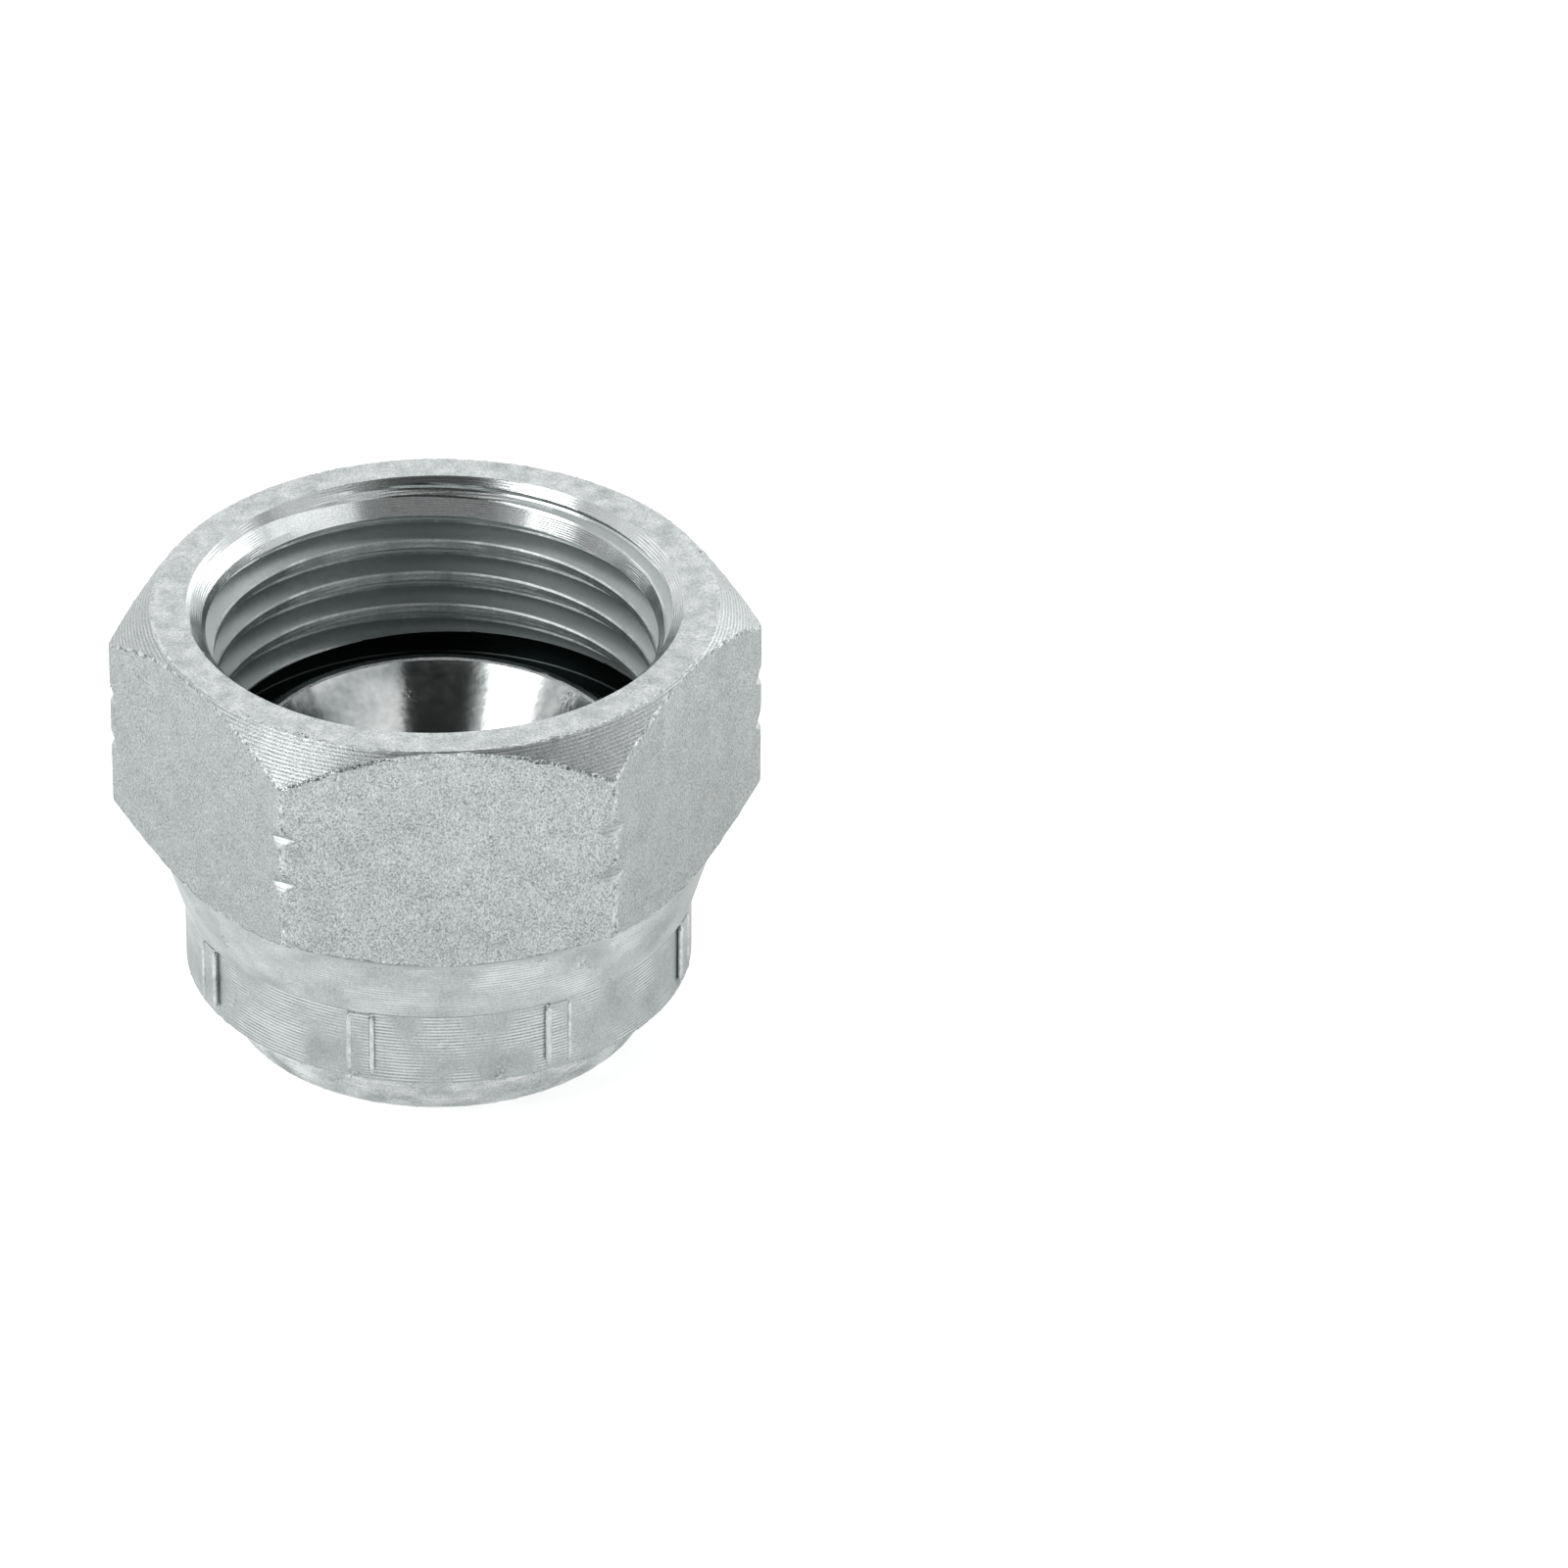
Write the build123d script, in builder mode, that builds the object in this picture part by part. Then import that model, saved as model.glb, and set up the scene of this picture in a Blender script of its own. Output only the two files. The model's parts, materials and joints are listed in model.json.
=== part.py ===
from build123d import *
from math import radians, sqrt, tan
import os

os.makedirs("parts", exist_ok=True)

# Threaded protection cap: a hexagon swivel nut crimped onto a blanking plug.
# The origin is the middle of the plug's outer face, with +Z up through the nut's mouth.

# Thread, 1-1/16-12 UN, internal
inch = 25.4
thread_pitch = inch / 12
thread_major_radius = 1.0625 * inch / 2
thread_depth = 5 / 8 * sqrt(3) / 2 * thread_pitch
bore_radius = thread_major_radius - thread_depth

# Hexagon of the nut
across_flats = 1.25 * inch
corner_round = 0.8

# Blanking plug: disc outside, neck in the collar, head with the sealing seat
neck_radius = 10.5
neck_length = 4.8
disc_overhang = 1.4
disc_thickness = 2.5
disc_edge_break = 0.2
dimple_radius = 4.95
dimple_depth = 0.25
shoulder_angle = 45
head_length = 8.65
head_chamfer_width = 1.05
head_chamfer_height = 1.0
rim_width = 0.55
rim_edge_break = 0.15
seat_angle = 37
seat_depth = 5.25

# Clearances between the plug and the nut that turns on it
disc_gap = 0.3
neck_clearance = 0.35
shoulder_clearance = 0.3
head_clearance = 0.3

# Collar of the nut, pressed in by a die of eight segments
collar_wall = 2.2
collar_dish = 0.45
panel_length = 4.6
press_depth = 0.22
segment_count = 8
segment_start_angle = 25.2
strip_width = 1.3
strip_root = 0.6
strip_back_margin = 0.45
strip_front_margin = 0.15
ridge_width = 0.2
ridge_height = 0.1

# Turned taper, tool-nose groove and back chamfer between the collar and the flats
taper_angle = 16.7
taper_length = 4.0
shoulder_length = 4.35
back_chamfer_angle = 33
nose_groove_reach = 0.425

# Flats, mouth chamfer and the two ring grooves that cut the corners
flat_length = 13.8
mouth_face_margin = 0.1
mouth_chamfer_angle = 41
ring_depth = 0.45
ring_half_width = 0.65
front_ring_depth = 5.4
ring_spacing = 2.98

# Bore of the nut, from the mouth down
mouth_bore_margin = 0.36
countersink_depth = 0.93
entry_angle = 11
relief_depth = 9.6
relief_length = 2.1
relief_margin = 0.4


def cone_rise(width, angle_from_axis):
    """Length along the axis of a cone that widens by this much."""
    return width / tan(radians(angle_from_axis))


# Blanking plug, turned in one piece
disc_radius = neck_radius + disc_overhang
head_radius = bore_radius - head_clearance
rim_outer_radius = head_radius - head_chamfer_width
seat_radius = rim_outer_radius - rim_width
seat_floor_radius = seat_radius - seat_depth * tan(radians(seat_angle))

neck_top = disc_thickness + neck_length
head_base = neck_top + cone_rise(head_radius - neck_radius, shoulder_angle)
rim_height = neck_top + head_length
seat_floor = rim_height - seat_depth

with BuildPart() as blanking_plug:
    with BuildSketch(Plane.XZ):
        with BuildLine():
            Polyline(
                (0, dimple_depth),
                (dimple_radius, 0),
                (disc_radius - disc_edge_break, 0),
                (disc_radius, disc_edge_break),
                (disc_radius, disc_thickness - disc_edge_break),
                (disc_radius - disc_edge_break, disc_thickness),
                (neck_radius, disc_thickness),
                (neck_radius, neck_top),
                (head_radius, head_base),
                (head_radius, rim_height - head_chamfer_height),
                (rim_outer_radius, rim_height),
                (seat_radius, rim_height),
                (seat_floor_radius, seat_floor),
                (0, seat_floor),
                (0, dimple_depth),
            )
        make_face()
    revolve(axis=Axis.Z)
    chamfer(blanking_plug.edges().group_by(Axis.Z)[-1], length=rim_edge_break)
blanking_plug.part.label = "blanking_plug"

# Collar end of the nut's section, whose bore follows the plug's neck and shoulder
lip_radius = neck_radius + neck_clearance
lip_top = neck_top + (lip_radius - neck_radius) - shoulder_clearance * sqrt(2)
lip_cone_top = lip_top + cone_rise(bore_radius - lip_radius, shoulder_angle)
turned_radius = bore_radius + collar_wall
panel_radius = turned_radius - press_depth
back_lip = disc_thickness + disc_gap
collar_edge = back_lip + collar_dish
panel_top = collar_edge + panel_length

# Taper and back chamfer, with the groove left by the tool's nose between them
flat_radius = across_flats / 2
corner_radius = flat_radius / (sqrt(3) / 2)
blank_radius = corner_radius + corner_round
flat_base = panel_top + shoulder_length
chamfer_slope = tan(radians(back_chamfer_angle))
taper_top = panel_top + taper_length
taper_top_radius = turned_radius + taper_length * tan(radians(taper_angle))
nose_groove_radius = flat_radius + nose_groove_reach
nose_groove_top = flat_base + nose_groove_reach * chamfer_slope
back_chamfer_top = flat_base + (blank_radius - flat_radius) * chamfer_slope

# Ring grooves and mouth chamfer
mouth = flat_base + flat_length
mouth_face_radius = flat_radius - mouth_face_margin
mouth_chamfer_base = mouth - (blank_radius - mouth_face_radius) * tan(radians(mouth_chamfer_angle))
ring_floor_radius = corner_radius - ring_depth
ring_mouth = ring_half_width * (blank_radius - ring_floor_radius) / ring_depth
front_ring = mouth - front_ring_depth
back_ring = front_ring - ring_spacing

# Bore, with the thread's crests as a plain wall
relief_top = mouth - relief_depth
relief_base = relief_top - relief_length
relief_radius = thread_major_radius + relief_margin
countersink_base = mouth - countersink_depth
mouth_bore_radius = thread_major_radius + mouth_bore_margin
countersink_radius = mouth_bore_radius - countersink_depth
entry_base = countersink_base - cone_rise(countersink_radius - bore_radius, entry_angle)

# Swivel nut, turned from hexagon bar in one piece
with BuildPart() as swivel_nut:
    with BuildSketch(Plane.XZ):
        with BuildLine():
            Polyline(
                (lip_radius, back_lip),
                (panel_radius, collar_edge),
                (panel_radius, panel_top),
                (turned_radius, panel_top),
                (taper_top_radius, taper_top),
            )
            TangentArc(
                (taper_top_radius, taper_top),
                (nose_groove_radius, nose_groove_top),
                tangent=(tan(radians(taper_angle)), 1),
            )
            Polyline(
                (nose_groove_radius, nose_groove_top),
                (blank_radius, back_chamfer_top),
                (blank_radius, back_ring - ring_mouth),
                (ring_floor_radius, back_ring),
                (blank_radius, back_ring + ring_mouth),
                (blank_radius, front_ring - ring_mouth),
                (ring_floor_radius, front_ring),
                (blank_radius, front_ring + ring_mouth),
                (blank_radius, mouth_chamfer_base),
                (mouth_face_radius, mouth),
                (mouth_bore_radius, mouth),
                (countersink_radius, countersink_base),
                (bore_radius, entry_base),
                (bore_radius, relief_top),
                (relief_radius, relief_top),
                (relief_radius, relief_base),
                (bore_radius, relief_base),
                (bore_radius, lip_cone_top),
                (lip_radius, lip_top),
                (lip_radius, back_lip),
            )
        make_face()
    revolve(axis=Axis.Z)
    with BuildSketch(Plane.XY) as hexagon:
        RegularPolygon(radius=flat_radius, side_count=6, major_radius=False)
        fillet(hexagon.vertices(), radius=corner_round)
    extrude(amount=mouth, mode=Mode.INTERSECT)
    # strips of collar left between the die's segments, with a ridge along each side
    strip_middle = turned_radius - strip_root / 2
    ridge_offset = (strip_width - ridge_width) / 2
    with BuildSketch(Plane.XY.offset(collar_edge + strip_back_margin)):
        with PolarLocations(strip_middle, segment_count, start_angle=segment_start_angle):
            Rectangle(strip_root, strip_width)
        with PolarLocations(strip_middle + ridge_height, segment_count, start_angle=segment_start_angle):
            with Locations((0, -ridge_offset), (0, ridge_offset)):
                Rectangle(strip_root, ridge_width)
    extrude(amount=panel_length - strip_back_margin - strip_front_margin)
swivel_nut.part.label = "swivel_nut"

export_step(blanking_plug.part, "parts/blanking_plug.step")
export_step(swivel_nut.part, "parts/swivel_nut.step")
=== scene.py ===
import json
import math
import bmesh
import bpy
import numpy as np
from mathutils import Matrix, Vector


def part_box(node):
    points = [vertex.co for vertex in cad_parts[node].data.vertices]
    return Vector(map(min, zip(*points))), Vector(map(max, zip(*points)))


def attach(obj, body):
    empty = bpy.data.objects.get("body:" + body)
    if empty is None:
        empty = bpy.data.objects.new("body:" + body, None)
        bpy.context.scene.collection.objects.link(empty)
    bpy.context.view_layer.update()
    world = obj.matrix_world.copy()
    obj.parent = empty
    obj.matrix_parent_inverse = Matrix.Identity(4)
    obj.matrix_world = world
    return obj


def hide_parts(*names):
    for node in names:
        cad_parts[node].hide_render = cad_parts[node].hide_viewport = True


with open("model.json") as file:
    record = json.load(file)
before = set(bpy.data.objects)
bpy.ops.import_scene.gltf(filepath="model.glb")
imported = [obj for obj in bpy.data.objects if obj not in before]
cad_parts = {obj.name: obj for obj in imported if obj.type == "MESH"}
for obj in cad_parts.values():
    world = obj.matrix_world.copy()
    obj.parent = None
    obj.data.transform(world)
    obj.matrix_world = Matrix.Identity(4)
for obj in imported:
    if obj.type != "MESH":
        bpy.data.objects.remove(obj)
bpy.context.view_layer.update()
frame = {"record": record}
mm = 0.001
nutLow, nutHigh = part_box("swivel_nut")
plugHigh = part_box("blanking_plug")[1]
threadMount = next(m for m in frame["record"]["mounts"] if m["kind"] == "threaded_hole")
crestRadius = threadMount["dims"]["r_mm"]
columns = 480  # around each piece, a multiple of 12
print("frame loaded")


# Small tools

def addNode(tree, kind, *inOrder, named=None, **settings):
    # inputs by place or by name: a node, a socket or a plain value, and None leaves the default
    node = tree.nodes.new(kind)
    for name, value in settings.items():
        setattr(node, name, value)
    for key, value in [*enumerate(inOrder), *(named or {}).items()]:
        if isinstance(value, bpy.types.Node):
            value = value.outputs[0]
        if isinstance(value, bpy.types.NodeSocket):
            tree.links.new(value, node.inputs[key])
        elif value is not None:
            node.inputs[key].default_value = value
    return node


def linear(hexColour):
    parts = [int(hexColour[i:i + 2], 16) / 255 for i in (1, 3, 5)]
    return [c / 12.92 if c <= 0.04045 else ((c + 0.055) / 1.055) ** 2.4 for c in parts] + [1.0]


def newMaterial(name):
    material = bpy.data.materials.new(name)
    material.use_nodes = True
    material.node_tree.nodes.clear()
    return material, material.node_tree


def placeInMillimetres(tree):
    # object coordinates in millimetres, so that every pattern below has its real size
    spot = addNode(tree, "ShaderNodeTexCoord")
    return addNode(tree, "ShaderNodeVectorMath", spot.outputs["Object"], [1 / mm] * 3, operation="MULTIPLY")


# Materials: one steel, cut and plated in several ways

def finishSteel(tree, look, height, level, across=None):
    # clear passivated zinc on steel: a grey metal with a faint green cast, darker in its hollows
    bump = addNode(tree, "ShaderNodeBump", named={"Height": height, "Strength": look["bump"],
                                                  "Distance": look["depth"] * mm})
    # a Mix node's colours go in at 6 and 7 and come out at 2
    shade = addNode(tree, "ShaderNodeMix", level, data_type="RGBA",
                    named={6: linear(look["hollow"]), 7: linear(look["colour"])})
    steel = addNode(tree, "ShaderNodeBsdfPrincipled", named={
        "Base Color": shade.outputs[2], "Metallic": 1.0, "Roughness": look["roughness"], "Normal": bump,
        "Anisotropic": look.get("stretch", 0.0)})
    if across:
        tree.links.new(across.outputs[0], steel.inputs["Tangent"])
    addNode(tree, "ShaderNodeOutputMaterial", steel)


def turnedSteel(name, look):
    # lathe-turned steel: feed grooves run round the axis and break its reflections into bright and dark
    # rings, drawn as coarse as they need to show
    material, tree = newMaterial(name)
    place = placeInMillimetres(tree)
    xyz = addNode(tree, "ShaderNodeSeparateXYZ", place)
    flat = addNode(tree, "ShaderNodeVectorMath", place, [1, 1, 0], operation="MULTIPLY")
    radius = addNode(tree, "ShaderNodeVectorMath", flat, operation="LENGTH").outputs["Value"]
    along = xyz.outputs[2] if look["grooves"] == "height" else radius
    around = addNode(tree, "ShaderNodeVectorMath", flat, operation="NORMALIZE")
    across = around if look["grooves"] == "radius" else addNode(tree, "ShaderNodeCombineXYZ", 0, 0, 1)
    ring = addNode(tree, "ShaderNodeMath", along, 1 / look["pitch"], operation="MULTIPLY")
    ringOnly = addNode(tree, "ShaderNodeCombineXYZ", 0, 0, ring)
    stretched = addNode(tree, "ShaderNodeVectorMath", around, [look["breaks"]] * 3, ringOnly,
                        operation="MULTIPLY_ADD")
    wander = addNode(tree, "ShaderNodeTexNoise", around, named={"Scale": 5.0, "Detail": 1.0})
    drift = addNode(tree, "ShaderNodeMath", wander, 0.06, ring, operation="MULTIPLY_ADD")
    turn = addNode(tree, "ShaderNodeMath", drift, 2 * math.pi, operation="MULTIPLY")
    wave = addNode(tree, "ShaderNodeMath", turn, operation="SINE")
    # the grooves show crisply in some places and are rubbed smooth in others
    onward = addNode(tree, "ShaderNodeMath", along, look["upright"], operation="MULTIPLY")
    onward = addNode(tree, "ShaderNodeCombineXYZ", 0, 0, onward)
    patches = addNode(tree, "ShaderNodeVectorMath", around, [look["patches"]] * 3, onward,
                      operation="MULTIPLY_ADD")
    cloud = addNode(tree, "ShaderNodeTexNoise", patches, named={"Scale": 1.0, "Detail": 3.0})
    crisp = addNode(tree, "ShaderNodeMapRange", cloud, look["shown"], look["shown"] + look["fade"],
                    look["rubbed"], 1.0)
    scratch = addNode(tree, "ShaderNodeTexNoise", stretched, named={"Scale": 2.6, "Detail": 2.0})
    fine = addNode(tree, "ShaderNodeMath", scratch, 0.5, operation="SUBTRACT")
    lines = addNode(tree, "ShaderNodeMath", wave, look["rings"], operation="MULTIPLY")
    lines = addNode(tree, "ShaderNodeMath", fine, look["scratches"], lines, operation="MULTIPLY_ADD")
    lines = addNode(tree, "ShaderNodeMath", lines, crisp, operation="MULTIPLY")
    grain = addNode(tree, "ShaderNodeTexNoise", place, named={"Scale": 1 / look["grain"], "Detail": 1.5})
    grit = addNode(tree, "ShaderNodeMath", grain, 0.5, operation="SUBTRACT")
    height = addNode(tree, "ShaderNodeMath", grit, look["grit"], lines, operation="MULTIPLY_ADD")
    # handling leaves small dents, in clusters about 2 mm apart
    struck = addNode(tree, "ShaderNodeTexNoise", place, named={"Scale": 0.55, "Detail": 1.0})
    struck = addNode(tree, "ShaderNodeMapRange", struck, 0.66, 0.72, 0.0, look["dents"])
    chips = addNode(tree, "ShaderNodeTexNoise", place, named={"Scale": 5.0, "Detail": 2.0})
    chips = addNode(tree, "ShaderNodeMath", chips, 0.5, operation="SUBTRACT")
    height = addNode(tree, "ShaderNodeMath", chips, struck, height, operation="MULTIPLY_ADD")
    uneven = addNode(tree, "ShaderNodeMath", cloud, look["uneven"], height, operation="MULTIPLY_ADD")
    middle, reach = look["uneven"] / 2, look["contrast"]
    level = addNode(tree, "ShaderNodeMapRange", uneven, middle - reach, middle + reach)
    finishSteel(tree, look, height, level, across)
    return material


def blastedSteel(name, look):
    # drawn bar, blasted and plated: fine grit that glitters where single grains face the light
    material, tree = newMaterial(name)
    place = placeInMillimetres(tree)
    drawn = addNode(tree, "ShaderNodeVectorMath", place, [1, 1, look["drawn"]], operation="MULTIPLY")
    grit = addNode(tree, "ShaderNodeTexNoise", drawn, named={"Scale": 1 / look["grain"], "Detail": 1.5,
                                                            "Roughness": 0.6})
    cloud = addNode(tree, "ShaderNodeTexNoise", place, named={"Scale": 1 / look["patches"], "Detail": 2.0})
    height = addNode(tree, "ShaderNodeMath", cloud, look["uneven"], grit, operation="MULTIPLY_ADD")
    middle = 0.5 + look["uneven"] / 2
    level = addNode(tree, "ShaderNodeMapRange", height, middle - look["contrast"], middle + look["contrast"])
    # single grains fallen out leave dark pits
    holes = addNode(tree, "ShaderNodeTexNoise", place, named={"Scale": 0.45 / look["grain"], "Detail": 2.0})
    unpitted = addNode(tree, "ShaderNodeMapRange", holes, look["pits"], look["pits"] + 0.07)
    level = addNode(tree, "ShaderNodeMath", level, unpitted, operation="MULTIPLY")
    finishSteel(tree, look, height, level)
    return material


# pitch, grain and depth are in millimetres; rings, scratches, grit and dents are shares of the relief;
# breaks and patches say how often it changes round the axis, and upright how often along it
turned = dict(colour="#D6DADA", hollow="#929A9A", contrast=0.65, roughness=0.3, stretch=0.5,
              grooves="height", pitch=0.205, rings=0.5, breaks=3.0, scratches=2.2,
              patches=2.5, upright=0.12, rubbed=0.15, shown=0.45, fade=0.15,
              grain=0.12, grit=0.9, uneven=3.0, dents=0.0, bump=0.5, depth=0.012)
turnedLooks = {
    # taper, much handled: fine feed lines under pale, cloudy plating
    "turnedTaper": dict(turned, colour="#EAEEEE", hollow="#A0A8A8", rings=0.45, scratches=1.4, grit=1.2,
                        patches=4.5, upright=0.4, rubbed=0.05, shown=0.47, uneven=2.2, dents=3.0),
    # collar, pressed by the die: feed lines that are flattened here and there
    "turnedPanel": dict(turned, rings=0.6, breaks=3.5, patches=4.5, upright=0.3, rubbed=0.0, scratches=1.4,
                        contrast=0.6, uneven=1.4, dents=3.0, colour="#E4E8E8", hollow="#8E9696",
                        roughness=0.36),
    # dished end of the collar: coarse circles round the plug
    "turnedFace": dict(turned, grooves="radius", pitch=0.28, depth=0.03, rubbed=0.6),
    # mouth chamfer, cut across the corners: close lines like a file's
    "turnedChamfer": dict(turned, grooves="radius", pitch=0.165, patches=5.0, upright=0.6, rubbed=0.45,
                          rings=0.5, scratches=0.8, breaks=4.0, contrast=1.0, depth=0.011, roughness=0.38,
                          stretch=0.0, colour="#E4E7E7", hollow="#7A8282", uneven=0.6, grit=2.6,
                          grain=0.09),
    # mouth, faced with a blunt tool: soft clouds and hardly a line
    "facedMouth": dict(turned, colour="#ECEFEF", hollow="#9CA3A3", grooves="radius", pitch=0.5, breaks=10.0,
                       rings=0.0, patches=14.0, upright=1.0, contrast=1.1, rubbed=0.1, scratches=0.9,
                       stretch=0.0, depth=0.003, roughness=0.24, uneven=2.6, grit=2.4),
    # hollow of the tool's round nose: smooth, with one soft highlight
    "nosedGroove": dict(turned, colour="#D6DADA", hollow="#A8AFAF", roughness=0.25, depth=0.003,
                        contrast=1.2),
    # thread flanks: dull grey, with no lines to catch the light
    "threadFlank": dict(turned, colour="#C6CCCC", hollow="#A6ADAD", contrast=1.4, roughness=0.42, pitch=0.5,
                        breaks=14.0, stretch=0.0, depth=0.004),
    # thread crests, rubbed by gauges: bright, with short lines
    "threadCrest": dict(turned, colour="#EAEEEE", hollow="#8E9696", contrast=1.0, roughness=0.46, pitch=0.3,
                        breaks=14.0, patches=7.0, stretch=0.0, depth=0.01, grit=1.0, uneven=2.4),
    # entry cone, burnished by fittings: glints crossed by fine feed lines
    "burnishedEntry": dict(turned, colour="#F4F6F6", hollow="#A4ABAB", contrast=0.8, roughness=0.2,
                           pitch=0.12, breaks=5.0, patches=6.0, rubbed=0.1, depth=0.006, uneven=1.0),
    # bored relief: painted nearly black for the shade deep inside the bore
    "boredRelief": dict(turned, colour="#4C5252", hollow="#383E3E", roughness=0.35, stretch=0.0,
                        depth=0.004),
    # sealing seat, polished: a mirror for the lamps, a little cloudy
    "polishedSeat": dict(turned, colour="#F2F4F4", hollow="#9AA1A1", contrast=1.3, roughness=0.15,
                         pitch=0.3, rings=0.02, breaks=2.0, patches=2.2, upright=0.5, rubbed=0.5,
                         scratches=0.3, stretch=0.0, depth=0.006, grain=0.5, grit=1.8, uneven=4.5,
                         dents=5.0),
    # floor of the seat: plain wide circles
    "turnedFloor": dict(turned, colour="#C8CECE", hollow="#8E9696", grooves="radius", pitch=0.4, rings=0.3,
                        breaks=2.0, patches=1.2, upright=0.4, contrast=1.2, roughness=0.3, stretch=0.0,
                        depth=0.006),
    # outer face of the plug: pale and matt, with faint circles
    "discFace": dict(turned, colour="#E2E4E4", hollow="#B4BABA", grooves="radius", pitch=0.5, breaks=20.0,
                     rings=0.12, patches=1.5, upright=0.6, contrast=1.4, roughness=0.42, stretch=0.0,
                     depth=0.008, grain=0.2, grit=1.6),
    # edge of the plug's disc: whitish, with dark handled patches
    "turnedDisc": dict(turned, colour="#FCFEFE", hollow="#B0B6B6", contrast=0.9, rings=0.25, breaks=5.0,
                       patches=5.0, upright=1.2, rubbed=0.0, scratches=1.4, roughness=0.32, uneven=4.2,
                       grit=2.0, dents=3.0),
    # rim of the seat: a thin smooth line
    "turnedRim": dict(turned, colour="#B0B6B6", hollow="#8A9090", roughness=0.18, stretch=0.0, depth=0.002),
    # ring grooves in the corners: pale torn metal
    "cutRing": dict(turned, colour="#E6E9E9", hollow="#8C9393", rings=0.15, breaks=2.0, rubbed=1.0,
                    scratches=0.5, contrast=0.8, roughness=0.4, stretch=0.0, depth=0.02, grit=1.6,
                    uneven=0.6),
}
# patches are in millimetres here, and drawn below 1 stretches the grain along the bar
blasted = dict(colour="#DADEDE", hollow="#8A9292", contrast=0.24, roughness=0.28, grain=0.1, drawn=0.75,
               patches=1.5, uneven=0.2, pits=0.29, bump=1.0, depth=0.085)
blastedLooks = {
    # flats of the bar: an even frost with bright and dark grains
    "blastedFlats": blasted,
    # edges where the cut broke out: coarse crumbs, light and dark
    "crumbledEdge": dict(blasted, colour="#E6E9E9", hollow="#7C8484", contrast=0.2, grain=0.14, patches=0.5,
                         uneven=0.8, pits=0.34, depth=0.09),
    # burrs pushed up by the cut: brighter than the crumbled edge
    "brightBurr": dict(blasted, colour="#F2F4F4", hollow="#AEB5B5", contrast=0.2, grain=0.14, patches=0.5,
                       uneven=0.6, pits=0.3, depth=0.07),
    # corners of the hexagon, knocked in handling: mottled
    "wornCorner": dict(blasted, colour="#ECEFEF", hollow="#7A8282", contrast=0.45, grain=0.13, patches=0.3,
                       uneven=1.4, pits=0.3, depth=0.09),
    # inner edge of the rim, chipped and matt: painted pure white as a highlight line
    "chippedRim": dict(blasted, colour="#FFFFFF", hollow="#D8DCDC", contrast=0.2, roughness=0.7, grain=0.12,
                       patches=0.4, uneven=0.6, pits=0.2, depth=0.14),
    # ridges squeezed up between the die's segments: smooth and pale
    "squeezedRidge": dict(blasted, colour="#F4F6F6", hollow="#B4BABA", contrast=0.35, roughness=0.36,
                          grain=0.25, patches=0.8, uneven=0.6, pits=0.0, depth=0.02),
    # step at the top of the pressed panels: painted shade, a dark and duller band where the taper overhangs
    # the panel
    "grimyCrevice": dict(blasted, colour="#B8BEBE", hollow="#6A706E", roughness=0.5, patches=1.0,
                         uneven=0.8, pits=0.3),
    # grease with metal dust in it: dark and matt
    "greasyGrime": dict(blasted, colour="#6A6E6C", hollow="#3C403E", roughness=0.6, patches=0.5, uneven=0.5,
                        pits=0.2, depth=0.03),
}
finishes = {name: turnedSteel(name, look) for name, look in turnedLooks.items()}
finishes.update({name: blastedSteel(name, look) for name, look in blastedLooks.items()})
finishNames = sorted(finishes)
print("materials made")


# Rows of points that turn into a closed skin

def columnAngles():
    # two and a half times as close at the hexagon's corners as in the middle of its flats
    spread = np.linspace(-1, 1, columns // 6, endpoint=False)
    fromFlat = 30 * (1.25 * spread - 0.25 * spread ** 3)
    return np.radians(np.concatenate([30 + 60 * flat + fromFlat for flat in range(6)]))


angles = columnAngles()
fromMiddle = np.abs(np.degrees(angles) % 60 - 30)  # in degrees, from the middle of the nearest flat


def softened(corners, size):
    # each corner (radius, height, finish, its own bevel, the bevel's finish) gives way to two points
    ones = np.ones(columns)
    pts = [np.stack([corner[0] * ones, corner[1] * ones], -1) for corner in corners]
    rows = []
    for i, (_, _, finish, *edge) in enumerate(corners):
        own = edge[0] if edge else size
        for other in (i - 1, i + 1):
            if not 0 <= other < len(corners):
                rows.append((pts[i], finish))
                continue
            away = pts[other] - pts[i]
            length = np.maximum(np.linalg.norm(away, axis=1, keepdims=True), 1e-9)
            skin = edge[1] if edge and other < i else finish
            most = 0.4 * length  # so that two bevels never meet
            rows.append((pts[i] + away * np.minimum(own, most) / length, skin))
    return rows


def ragged(seed, waves, size):
    # a seeded wobble round the axis of about this size in millimetres, with fewer waves than this
    chance = np.random.default_rng(seed)
    total = np.zeros(columns)
    for _ in range(24):
        total += np.sin(angles * chance.integers(waves // 4, waves) + chance.uniform(0, 2 * math.pi))
    return size * total / 4


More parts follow.
